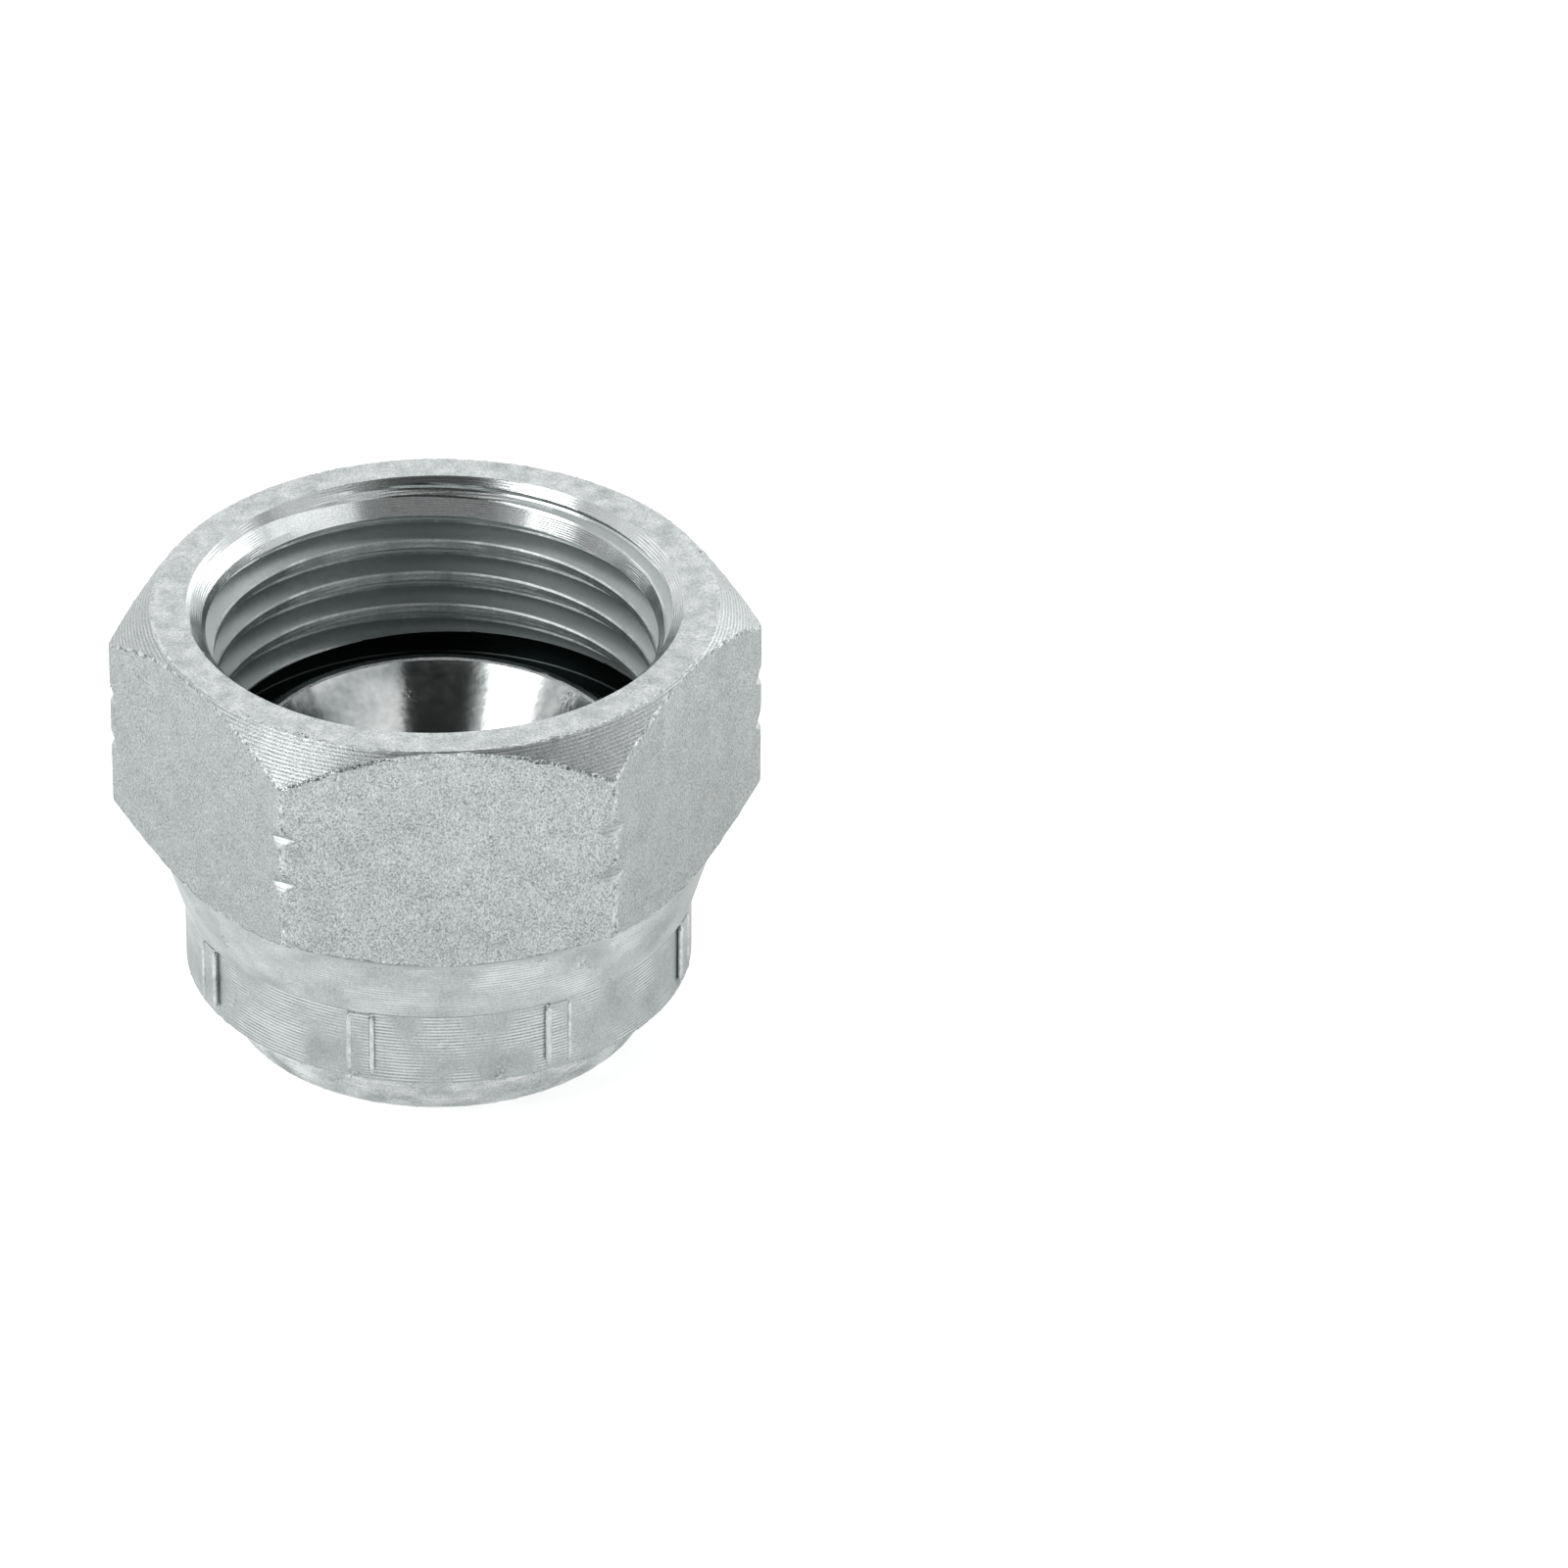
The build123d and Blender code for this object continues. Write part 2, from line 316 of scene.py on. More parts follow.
def turnedMesh(name, rows, capFirst=False, capLast=False):
    # rows of (radius, height) in millimetres round the axis, joined by quads, with a finish for each band
    count = len(rows)
    pts = np.stack([row[0] for row in rows])
    x, y, z = pts[..., 0] * np.cos(angles), pts[..., 0] * np.sin(angles), pts[..., 1]
    verts = (np.stack([x, y, z], -1).reshape(-1, 3) * mm).tolist()
    faces, slots = [], []
    for i in range(count - 1):
        for j in range(columns):
            k = (j + 1) % columns
            faces.append((i * columns + j, i * columns + k, (i + 1) * columns + k, (i + 1) * columns + j))
            slots.append(rows[i][1] if isinstance(rows[i][1], str) else rows[i][1][j])
    for cap, row, order in ((capFirst, 0, -1), (capLast, count - 1, 1)):
        if cap:
            verts.append((0, 0, float(pts[row, 0, 1]) * mm))
            for j in range(columns):
                ring = (row * columns + j, row * columns + (j + 1) % columns)[::order]
                faces.append((*ring, len(verts) - 1))
                slots.append(rows[row if row == 0 else row - 1][1])
    mesh = bpy.data.meshes.new(name)
    mesh.from_pydata(verts, [], faces)
    for finish in finishNames:
        mesh.materials.append(finishes[finish])
    mesh.polygons.foreach_set("material_index", [finishNames.index(s) for s in slots])
    return mesh


# in millimetres and degrees, with the CAD's own sizes worked out from the frame, to the micrometre
acrossFlats = round((nutHigh[1] - nutLow[1]) / mm, 3)
backLip, mouth = round(nutLow[2] / mm, 3), round(nutHigh[2] / mm, 3)
nutSizes = dict(
    acrossFlats=acrossFlats, cornerReach=nutHigh[0] / mm, cornerRound=0.3,
    backLip=backLip, lipRadius=10.85, collarEdge=backLip + 0.45, panelTop=backLip + 5.05,
    panelRadius=crestRadius + 1.98, turnedRadius=crestRadius + 2.2,
    taperTop=backLip + 9.05, taperTopRadius=crestRadius + 3.4,
    noseReach=acrossFlats / 2 + 0.425, noseSteps=8,
    flatBase=backLip + 9.4, backSlope=33, mouth=mouth, mouthSlope=41, mouthFaceRadius=acrossFlats / 2 - 0.1,
    rings=(mouth - 8.4, mouth - 5.48), ringDepth=0.33, ringRoot=0.03, ringLedge=0.42, ledgeBow=1.8,
    ringRise=1.0, riseBow=1.4,
    shoulderBase=7.23, shoulderTop=8.73,
    reliefBase=mouth - 11.7, reliefTop=mouth - 9.6, reliefRadius=13.894, mouthRadius=13.854,
    strips=8, stripAngle=25.2, stripWidth=1.3, stripLow=3.5, stripFade=0.6,
    edge=0.06, wear=0.035, cornerWear=29.4, sharp=14,
)


def hexagonRadius(s):
    # radius of the rounded hexagon at each column
    half, rounding = s["acrossFlats"] / 2, s["cornerRound"]
    onFlat = half / np.cos(np.radians(fromMiddle))
    centre = (half - rounding) / math.cos(math.radians(30))
    turned = np.radians(30 - fromMiddle)
    inner = np.maximum(rounding ** 2 - (centre * np.sin(turned)) ** 2, 0)
    onCorner = centre * np.cos(turned) + np.sqrt(inner)
    flatEnds = math.atan((half - rounding) * math.tan(math.radians(30)) / half)
    return np.minimum(np.where(np.radians(fromMiddle) < flatEnds, onFlat, onCorner), s["cornerReach"])


def chamferLines(s, radius):
    # heights at which the back chamfer and the mouth chamfer have this radius
    back = s["flatBase"] + (radius - s["acrossFlats"] / 2) * math.tan(math.radians(s["backSlope"]))
    front = s["mouth"] - (radius - s["mouthFaceRadius"]) * math.tan(math.radians(s["mouthSlope"]))
    return back, front


def collarCorners(s):
    # from the relief down the bore, round the collar's lip and up its outside to the taper's top
    spacing = 360 / s["strips"]
    fromStrip = np.abs((np.degrees(angles) - s["stripAngle"] + spacing / 2) % spacing - spacing / 2)
    inStrip = fromStrip < math.degrees(s["stripWidth"] / 2 / s["turnedRadius"])
    collar = np.where(inStrip, s["turnedRadius"], s["panelRadius"])
    return [
        # the relief and the bore below it are painted nearly black as shade
        (s["reliefRadius"], s["reliefTop"], "boredRelief"),
        (s["reliefRadius"], s["reliefBase"], "boredRelief"),
        (crestRadius, s["reliefBase"], "boredRelief"),
        (crestRadius, s["shoulderTop"], "boredRelief"),
        (s["lipRadius"], s["shoulderBase"], "boredRelief"),
        (s["lipRadius"], s["backLip"], "turnedFace"),
        (s["panelRadius"], s["collarEdge"] + ragged(3, 120, s["wear"]), "turnedPanel", 0.16, "crumbledEdge"),
        (s["panelRadius"], s["stripLow"], "turnedPanel"),
        (collar, s["stripLow"] + s["stripFade"], "turnedPanel"),
        # a thin band of painted shade under the step at the panels' top
        (collar, s["panelTop"] - 0.06, "grimyCrevice"),
        (collar, s["panelTop"], "turnedTaper", 0.02, "grimyCrevice"),
        (s["turnedRadius"], s["panelTop"] + 0.02, "turnedTaper"),
        (s["taperTopRadius"], s["taperTop"], "nosedGroove"),
    ]


def noseCircle(s):
    # the tool's nose leaves a circle, tangent to the taper, that runs out on the back chamfer
    start = np.array([s["taperTopRadius"], s["taperTop"]])
    lean = math.atan2(s["taperTopRadius"] - s["turnedRadius"], s["taperTop"] - s["panelTop"])
    tangent = np.array([math.sin(lean), math.cos(lean)])
    chord = np.array([s["noseReach"], chamferLines(s, s["noseReach"])[0]]) - start
    length = np.linalg.norm(chord)
    radius = length / (2 * math.sin(math.acos(chord @ tangent / length)))
    return start + radius * np.array([tangent[1], -tangent[0]]), radius


def ringCorners(s, hexagon, sides):
    # two grooves turned round the hexagon, so shallow that they only notch its corners
    floor = s["cornerReach"] - s["ringDepth"]
    deep = np.maximum(hexagon - floor, 0)
    share = deep / s["ringDepth"]
    top = 1 - (1 - share) ** (1 / s["riseBow"])
    cut = np.where(deep > 0, "cutRing", "blastedFlats")
    corners = []
    for height in s["rings"]:
        for part in (1, 0.8, 0.6, 0.4, 0.2):  # a rounded ledge below
            drop = s["ringRoot"] * part + s["ringLedge"] * share * part ** s["ledgeBow"]
            corners.append((hexagon - deep * (1 - part), height - drop, cut, 0.01, cut))
        for part in (0.04, 0.25, 0.5, 0.75, 1):  # and a slow run-out above
            out = s["cornerReach"] - s["ringDepth"] * (1 - top * part) ** s["riseBow"]
            out = out - (floor - hexagon) * (deep == 0)
            skin = cut if part < 0.1 else sides
            corners.append((out, height + (s["ringRoot"] + s["ringRise"] * top) * part, skin, 0.01, skin))
    return corners


def mouthCorners(s, hexagon, chamferTop):
    # two straight rows inside the chamfer keep its ragged edges from tilting its face
    wide = hexagon - s["mouthFaceRadius"]
    nearEdge = hexagon - np.minimum(0.25, 0.35 * wide)
    nearFace = s["mouthFaceRadius"] + np.minimum(0.2, 0.3 * wide)
    return [
        (hexagon, chamferTop, "turnedChamfer", 0.14, "crumbledEdge"),
        (nearEdge, chamferLines(s, nearEdge)[1], "turnedChamfer"),
        (nearFace, chamferLines(s, nearFace)[1], "turnedChamfer"),
        (s["mouthFaceRadius"] + ragged(4, 150, s["wear"]), s["mouth"], "facedMouth", 0.09, "brightBurr"),
        (s["mouthRadius"], s["mouth"], "facedMouth"),
    ]


def nutRows(s):
    hexagon = hexagonRadius(s)
    backLine, mouthLine = chamferLines(s, hexagon)
    centre, noseRadius = noseCircle(s)
    noseEnd = np.minimum(hexagon, s["noseReach"])

    def noseHeight(r):
        return centre[1] + np.sqrt(np.maximum(noseRadius ** 2 - (r - centre[0]) ** 2, 0))

    chamferBase = np.where(hexagon > s["noseReach"], backLine, noseHeight(noseEnd))
    chamferBase = chamferBase + ragged(1, 110, s["wear"])
    chamferTop = mouthLine + ragged(2, 110, s["wear"])
    sides = np.where(fromMiddle > s["cornerWear"], "wornCorner", "blastedFlats")
    rows = softened(collarCorners(s), s["edge"])[:-1]
    for step in range(1, s["noseSteps"] + 1):
        turn = step / s["noseSteps"]
        r = s["taperTopRadius"] + (noseEnd - s["taperTopRadius"]) * (1 - math.cos(turn * math.pi / 2))
        rows.append((np.stack([r, noseHeight(r)], -1), "nosedGroove" if turn < 1 else "turnedTaper"))
    onward = [(noseEnd, rows[-1][0][:, 1], "turnedTaper"), (hexagon, chamferBase, sides, 0.1, "crumbledEdge")]
    onward += ringCorners(s, hexagon, sides) + mouthCorners(s, hexagon, chamferTop)
    rows += softened(onward, s["edge"])[1:]
    return rows


def newTree(name, **kinds):
    # a tree with these named inputs, where a low line in a name stands for a space
    tree = bpy.data.node_groups.new(name, "GeometryNodeTree")
    tree.interface.new_socket("Geometry", in_out="INPUT", socket_type="NodeSocketGeometry")
    for label, kind in kinds.items():
        tree.interface.new_socket(label.replace("_", " "), in_out="INPUT", socket_type="NodeSocket" + kind)
    tree.interface.new_socket("Geometry", in_out="OUTPUT", socket_type="NodeSocketGeometry")
    return tree, addNode(tree, "NodeGroupInput").outputs


# 1-1/16-12 UN in millimetres, with the height at which a crest crosses the +X side
threadSizes = dict(pitch=25.4 / 12, rootRadius=1.0625 * 25.4 / 2, crestStart=mouth - 4.18,
                   entryBase=mouth - 2.5, entrySlope=math.tan(math.radians(24)), entryWall=0.7,
                   edge=0.025, sharp=5)
crestEnd, rootStart = 0.125, 0.4375  # in pitches from a crest's middle, with a flank between


def threadStrip(edge):
    # flat strip: x is the share of a turn, y the height in pitches, and z how far a row follows the crest
    # as it widens
    def follow(phase):
        return min(1, (rootStart - phase) / (rootStart - crestEnd))

    weight = {phase: follow(phase) for phase in (crestEnd - edge, crestEnd + edge, 0.23, 0.335)}
    weight.update({0: 0, rootStart - edge: 0, rootStart + edge: 0})
    phases = sorted({*weight, *(-phase for phase in weight)})
    rows = [(turn + p, weight[abs(p)] * (1 if p > 0 else -1)) for turn in range(-5, 4) for p in phases]
    shares = list(angles / (2 * math.pi)) + [angles[0] / (2 * math.pi) + 1]
    verts = [(share, height, w) for height, w in rows for share in shares]
    across = len(shares)
    faces = [(i * across + j, (i + 1) * across + j, (i + 1) * across + j + 1, i * across + j + 1)
             for i in range(len(rows) - 1) for j in range(across - 1)]
    mesh = bpy.data.meshes.new("thread_strip")
    mesh.from_pydata(verts, [], faces)
    return mesh


def threadTree(edge):
    # Geometry Nodes: winds the flat strip into a right-hand female thread with its entry cone
    tree, given = newTree("Female Thread", Pitch="Float", Crest_Radius="Float", Root_Radius="Float",
                          Crest_Start="Float", Bottom="Float", Top="Float", Entry_Base="Float",
                          Entry_Slope="Float", Mouth_Radius="Float", Steel="Material")
    kind = "ShaderNodeMath"

    def coneAt(height):
        # radius to which the entry cone and the countersink at the mouth open the bore
        above = addNode(tree, kind, height, given["Entry Base"], operation="SUBTRACT")
        above = addNode(tree, kind, above, 0.0, operation="MAXIMUM")
        cone = addNode(tree, kind, above, given["Entry Slope"], given["Crest Radius"],
                       operation="MULTIPLY_ADD")
        down = addNode(tree, kind, given["Top"], height, operation="SUBTRACT")
        sink = addNode(tree, kind, given["Mouth Radius"], down, operation="SUBTRACT")
        return addNode(tree, kind, cone, sink, operation="MAXIMUM")

    place = addNode(tree, "ShaderNodeSeparateXYZ", addNode(tree, "GeometryNodeInputPosition")).outputs
    turns = addNode(tree, kind, place[0], place[1], operation="ADD")
    lead = addNode(tree, kind, turns, given["Pitch"], given["Crest Start"], operation="MULTIPLY_ADD")
    share = addNode(tree, kind, place[2], operation="ABSOLUTE")
    side = addNode(tree, kind, place[2], operation="SIGN")
    nearCrest = addNode(tree, kind, place[1], operation="ROUND")
    own = addNode(tree, kind, place[1], nearCrest, operation="SUBTRACT")
    own = addNode(tree, kind, own, operation="ABSOLUTE")
    # the rows between crest and root keep a little room, so that they never cross
    room = addNode(tree, kind, share, -0.03, rootStart - edge, operation="MULTIPLY_ADD")
    room = addNode(tree, kind, room, own, operation="SUBTRACT")
    room = addNode(tree, kind, room, given["Pitch"], operation="MULTIPLY")
    # the crest widens where the entry cuts it, so a row's own height is found in a few steps
    height = lead
    for _ in range(12):
        cut = addNode(tree, kind, coneAt(height), given["Root Radius"], operation="MINIMUM")
        cut = addNode(tree, kind, cut, given["Crest Radius"], operation="SUBTRACT")
        widen = addNode(tree, kind, cut, math.tan(math.radians(30)), operation="MULTIPLY")
        widen = addNode(tree, kind, widen, share, operation="MULTIPLY")
        widen = addNode(tree, kind, widen, room, operation="MINIMUM")
        height = addNode(tree, kind, widen, side, lead, operation="MULTIPLY_ADD")
    height = addNode(tree, kind, height, given["Bottom"], operation="MAXIMUM")
    height = addNode(tree, kind, height, given["Top"], operation="MINIMUM")
    # depth of the groove at that height, from how far the nearest crest is
    fromStart = addNode(tree, kind, height, given["Crest Start"], operation="SUBTRACT")
    inTurns = addNode(tree, kind, fromStart, given["Pitch"], operation="DIVIDE")
    phase = addNode(tree, kind, inTurns, place[0], operation="SUBTRACT")
    nearest = addNode(tree, kind, phase, operation="ROUND")
    off = addNode(tree, kind, phase, nearest, operation="SUBTRACT")
    off = addNode(tree, kind, off, operation="ABSOLUTE")
    off = addNode(tree, kind, off, crestEnd, operation="SUBTRACT")
    off = addNode(tree, kind, off, 0.0, operation="MAXIMUM")
    off = addNode(tree, kind, off, given["Pitch"], operation="MULTIPLY")
    groove = addNode(tree, kind, off, math.sqrt(3), given["Crest Radius"], operation="MULTIPLY_ADD")
    groove = addNode(tree, kind, groove, given["Root Radius"], operation="MINIMUM")
    radius = addNode(tree, kind, groove, coneAt(height), operation="MAXIMUM")
    angle = addNode(tree, kind, place[0], 2 * math.pi, operation="MULTIPLY")
    x = addNode(tree, kind, angle, operation="COSINE")
    x = addNode(tree, kind, x, radius, operation="MULTIPLY")
    y = addNode(tree, kind, angle, operation="SINE")
    y = addNode(tree, kind, y, radius, operation="MULTIPLY")
    spot = addNode(tree, "ShaderNodeCombineXYZ", x, y, height)
    spot = addNode(tree, "ShaderNodeVectorMath", spot, [mm] * 3, operation="MULTIPLY")
    moved = addNode(tree, "GeometryNodeSetPosition", given["Geometry"], named={"Position": spot})
    merged = addNode(tree, "GeometryNodeMergeByDistance", moved, named={"Distance": 0.0008 * mm})
    real = addNode(tree, "GeometryNodeRealizeInstances", merged)
    steel = addNode(tree, "GeometryNodeSetMaterial", real, named={"Material": given["Steel"]})
    addNode(tree, "NodeGroupOutput", steel)
    return tree


def runTree(tree, mesh, values):
    # puts the tree on the mesh, sets its named inputs, and returns the result as a plain mesh
    holder = bpy.data.objects.new(tree.name, mesh)
    bpy.context.scene.collection.objects.link(holder)
    modifier = holder.modifiers.new(tree.name, "NODES")
    modifier.node_group = tree
    for item in tree.interface.items_tree:
        if item.item_type == "SOCKET" and item.in_out == "INPUT" and item.name in values:
            modifier[item.identifier] = values[item.name]
    done = bpy.data.meshes.new_from_object(holder.evaluated_get(bpy.context.evaluated_depsgraph_get()))
    bpy.data.objects.remove(holder)
    return done


def nutBore(s, t):
    return runTree(threadTree(t["edge"]), threadStrip(t["edge"]), {
        "Pitch": t["pitch"], "Crest Radius": crestRadius, "Root Radius": t["rootRadius"],
        "Crest Start": t["crestStart"], "Bottom": s["reliefTop"], "Top": s["mouth"],
        "Entry Base": t["entryBase"], "Entry Slope": t["entrySlope"], "Mouth Radius": s["mouthRadius"],
        "Steel": finishes["threadFlank"]})


def joined(meshes):
    # one mesh of several, with their seams merged
    whole = bmesh.new()
    for mesh in meshes:
        names = [m.name for m in mesh.materials]
        first = len(whole.faces)
        whole.from_mesh(mesh)
        whole.faces.ensure_lookup_table()
        for face in whole.faces[first:]:
            face.material_index = finishNames.index(names[face.material_index])
    bmesh.ops.remove_doubles(whole, verts=whole.verts, dist=0.0015 * mm)
    return whole


def toObject(name, whole, sharp):
    # sharp gives the angle from which an edge is sharp, in degrees
    for edge in whole.edges:
        edge.smooth = edge.calc_face_angle(0) < math.radians(sharp(edge))
    mesh = bpy.data.meshes.new(name)
    whole.to_mesh(mesh)
    whole.free()
    for finish in finishNames:
        mesh.materials.append(finishes[finish])
    mesh.polygons.foreach_set("use_smooth", [True] * len(mesh.polygons))
    piece = bpy.data.objects.new(name, mesh)
    bpy.context.scene.collection.objects.link(piece)
    return piece


def finishBore(whole, s, t):
    # crests are rubbed, flanks dull, and the entry burnished by the fittings that have been screwed in
    near = 0.001
    for face in whole.faces:
        middle = face.calc_center_median() / mm
        r, z = middle.xy.length, middle.z
        if z < s["reliefTop"] - near or r > s["mouthRadius"] - near:
            continue
        entry = max(z - t["entryBase"], 0) * t["entrySlope"]
        slope = abs(face.normal.z)
        finish = "burnishedEntry" if entry > 0.02 else "threadCrest"
        inRoot = r > t["rootRadius"] - 0.03 and slope < 0.3
        if entry < t["entryWall"] and (slope > 0.8 or inRoot):
            finish = "threadFlank"
        # the relief at the bore's bottom is painted nearly black as shade
        if z < s["reliefTop"] + 0.01:
            finish = "boredRelief"
        face.material_index = finishNames.index(finish)


def makeNut(s, t):
    skin = turnedMesh("nut_skin", nutRows(s))
    whole = joined([skin, nutBore(s, t)])
    rim = [e for e in whole.edges if e.is_boundary]
    bmesh.ops.bridge_loops(whole, edges=rim)
    whole.normal_update()
    finishBore(whole, s, t)

    def sharp(edge):  # finer in the thread, whose faces turn slowly into its entry cone
        middle = (edge.verts[0].co + edge.verts[1].co) / 2 / mm
        inHeight = s["reliefTop"] + 0.01 < middle.z < s["mouth"] - 0.01
        return t["sharp"] if inHeight and middle.xy.length < s["mouthRadius"] else s["sharp"]

    nut = toObject("nut", whole, sharp)
    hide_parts("swivel_nut")
    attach(nut, "nut")
    return nut


nut = makeNut(nutSizes, threadSizes)
print("nut made:", len(nut.data.polygons), "faces")


# Burrs that stand on the nut and the plug

# two ridges on each strip, a wide and a narrow one
ridgeSizes = dict(count=nutSizes["strips"], start=nutSizes["stripAngle"], radius=14.5, low=3.9, high=7.6,
                  apart=0.66, wide=0.36, narrow=0.27, rise=0.8)


def ridgeTree():
    # Geometry Nodes: two ridges of squeezed metal on each strip between the die's segments
    tree, given = newTree("Crimp Ridges", Strips="Int", Start="Float", Radius="Float", Low="Float",
                          High="Float", Apart="Float", Wide="Float", Narrow="Float", Rise="Float",
                          Steel="Material")
    kind = "ShaderNodeMath"
    length = addNode(tree, kind, given["High"], given["Low"], operation="SUBTRACT")
    start = addNode(tree, "ShaderNodeCombineXYZ", 0, 0, given["Low"])
    end = addNode(tree, "ShaderNodeCombineXYZ", 0, 0, given["High"])
    line = addNode(tree, "GeometryNodeCurvePrimitiveLine", start, end)
    line = addNode(tree, "GeometryNodeResampleCurve", line, named={"Count": 40})
    share = addNode(tree, "GeometryNodeSplineParameter").outputs["Factor"]
    # the ends run out in a rounded lump
    toGo = addNode(tree, kind, 1.0, share, operation="SUBTRACT")
    fromEnd = addNode(tree, kind, share, toGo, operation="MINIMUM")
    full = addNode(tree, "ShaderNodeMapRange", fromEnd, 0.0, 0.07, 0.35, 1.0, interpolation_type="SMOOTHSTEP")
    section = addNode(tree, "GeometryNodeCurvePrimitiveCircle", named={"Resolution": 10, "Radius": 0.5})
    bar = addNode(tree, "GeometryNodeCurveToMesh", line, section, named={"Scale": full, "Fill Caps": True})
    pairs = addNode(tree, kind, given["Strips"], 2, operation="MULTIPLY")
    points = addNode(tree, "GeometryNodePoints", pairs)
    number = addNode(tree, "GeometryNodeInputIndex")
    strip = addNode(tree, kind, number, 0.5, operation="MULTIPLY")
    strip = addNode(tree, kind, strip, operation="FLOOR")
    second = addNode(tree, kind, number, 2, operation="MODULO")
    pitch = addNode(tree, kind, 2 * math.pi, given["Strips"], operation="DIVIDE")
    angle = addNode(tree, kind, strip, pitch, given["Start"], operation="MULTIPLY_ADD")
    side = addNode(tree, kind, second, 2.0, -1.0, operation="MULTIPLY_ADD")
    reach = addNode(tree, kind, given["Apart"], given["Radius"], operation="DIVIDE")
    angle = addNode(tree, kind, side, reach, angle, operation="MULTIPLY_ADD")
    x = addNode(tree, kind, angle, operation="COSINE")
    x = addNode(tree, kind, x, given["Radius"], operation="MULTIPLY")
    y = addNode(tree, kind, angle, operation="SINE")
    y = addNode(tree, kind, y, given["Radius"], operation="MULTIPLY")
    foot = addNode(tree, "ShaderNodeCombineXYZ", x, y, 0)
    placed = addNode(tree, "GeometryNodeSetPosition", points, named={"Position": foot})
    width = addNode(tree, "ShaderNodeMapRange", second, 0.0, 1.0, given["Wide"], given["Narrow"])
    # the random number lies between its inputs 2 and 3
    chance = addNode(tree, "FunctionNodeRandomValue", data_type="FLOAT", named={"Seed": 7, 2: 0.8, 3: 1.2})
    width = addNode(tree, kind, width, chance.outputs[1], operation="MULTIPLY")
    rise = addNode(tree, kind, width, given["Rise"], operation="MULTIPLY")
    size = addNode(tree, "ShaderNodeCombineXYZ", rise, width, 1.0)
    turned = addNode(tree, "ShaderNodeCombineXYZ", 0, 0, angle)
    bars = addNode(tree, "GeometryNodeInstanceOnPoints", placed, None, bar,
                   named={"Rotation": turned, "Scale": size})
    bars = addNode(tree, "GeometryNodeRealizeInstances", bars)
    # squeezed metal is never quite straight
    where = addNode(tree, "GeometryNodeInputPosition")
    wobble = addNode(tree, "ShaderNodeTexNoise", where, named={"Scale": 1.6, "Detail": 2.0})
    wobble = addNode(tree, "ShaderNodeVectorMath", wobble.outputs["Color"], [0.5] * 3, operation="SUBTRACT")
    wobble = addNode(tree, "ShaderNodeVectorMath", wobble, [0.08, 0.08, 0.1], operation="MULTIPLY")
    bars = addNode(tree, "GeometryNodeSetPosition", bars, named={"Offset": wobble})
    bars = addNode(tree, "GeometryNodeTransform", bars, named={"Scale": (mm, mm, mm)})
    bars = addNode(tree, "GeometryNodeSetShadeSmooth", bars)
    bars = addNode(tree, "GeometryNodeSetMaterial", bars, named={"Material": given["Steel"]})
    addNode(tree, "NodeGroupOutput", bars)
    return tree


def makeRidges(s):
    mesh = runTree(ridgeTree(), bpy.data.meshes.new("ridge_seed"), {
        "Strips": s["count"], "Start": math.radians(s["start"]), "Radius": s["radius"], "Low": s["low"],
        "High": s["high"], "Apart": s["apart"], "Wide": s["wide"], "Narrow": s["narrow"],
        "Rise": s["rise"], "Steel": finishes["squeezedRidge"]})
    ridges = bpy.data.objects.new("crimp_ridges", mesh)
    bpy.context.scene.collection.objects.link(ridges)
    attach(ridges, "nut")
    return ridges


ridges = makeRidges(ridgeSizes)
print("ridges made:", len(ridges.data.polygons), "faces")

crumbSizes = dict(share=0.4, small=0.015, large=0.065, seed=3)


def crumbTree():
    # Geometry Nodes: crumbs of torn metal, scattered on some of the points of an edge
    tree, given = newTree("Burr Crumbs", Share="Float", Small="Float", Large="Float", Seed="Int",
                          Steel="Material")
    points = addNode(tree, "GeometryNodeMeshToPoints", given["Geometry"])
    chosen = addNode(tree, "FunctionNodeRandomValue", data_type="BOOLEAN",
                     named={"Probability": given["Share"], "Seed": given["Seed"]})
    crumb = addNode(tree, "GeometryNodeMeshIcoSphere", 1.0, 1)
    where = addNode(tree, "GeometryNodeInputPosition")
    size = addNode(tree, "FunctionNodeRandomValue", data_type="FLOAT",
                   named={"Seed": given["Seed"], 2: given["Small"], 3: given["Large"]})
    turned = addNode(tree, "FunctionNodeRandomValue", data_type="FLOAT_VECTOR",
                     named={"Seed": given["Seed"], 1: (6.3, 6.3, 6.3)})  # any way up
    squash = addNode(tree, "ShaderNodeCombineXYZ", *[size.outputs[1]] * 3)
    squash = addNode(tree, "ShaderNodeVectorMath", squash, [1.5, 1.0, 0.8], operation="MULTIPLY")
    bits = addNode(tree, "GeometryNodeInstanceOnPoints", points, chosen.outputs[3], crumb,
                   named={"Rotation": turned.outputs[0], "Scale": squash})
    bits = addNode(tree, "GeometryNodeRealizeInstances", bits)
    wobble = addNode(tree, "ShaderNodeTexNoise", where, named={"Scale": 9.0, "Detail": 1.0})
    wobble = addNode(tree, "ShaderNodeVectorMath", wobble.outputs["Color"], [0.5] * 3, operation="SUBTRACT")
    wobble = addNode(tree, "ShaderNodeVectorMath", wobble, [0.07] * 3, operation="MULTIPLY")
    bits = addNode(tree, "GeometryNodeSetPosition", bits, named={"Offset": wobble})
    bits = addNode(tree, "GeometryNodeTransform", bits, named={"Scale": (mm, mm, mm)})
    bits = addNode(tree, "GeometryNodeSetMaterial", bits, named={"Material": given["Steel"]})
    addNode(tree, "NodeGroupOutput", bits)
    return tree


def edgePoints(edges):
    # points in millimetres along edges (radius, height, inward), each a number or an array over the columns
    spots = []
    for radius, height, inward in edges:
        out = radius - inward
        spots.append(np.stack([out * np.cos(angles), out * np.sin(angles), height * np.ones(columns)], -1))
    return np.concatenate(spots)


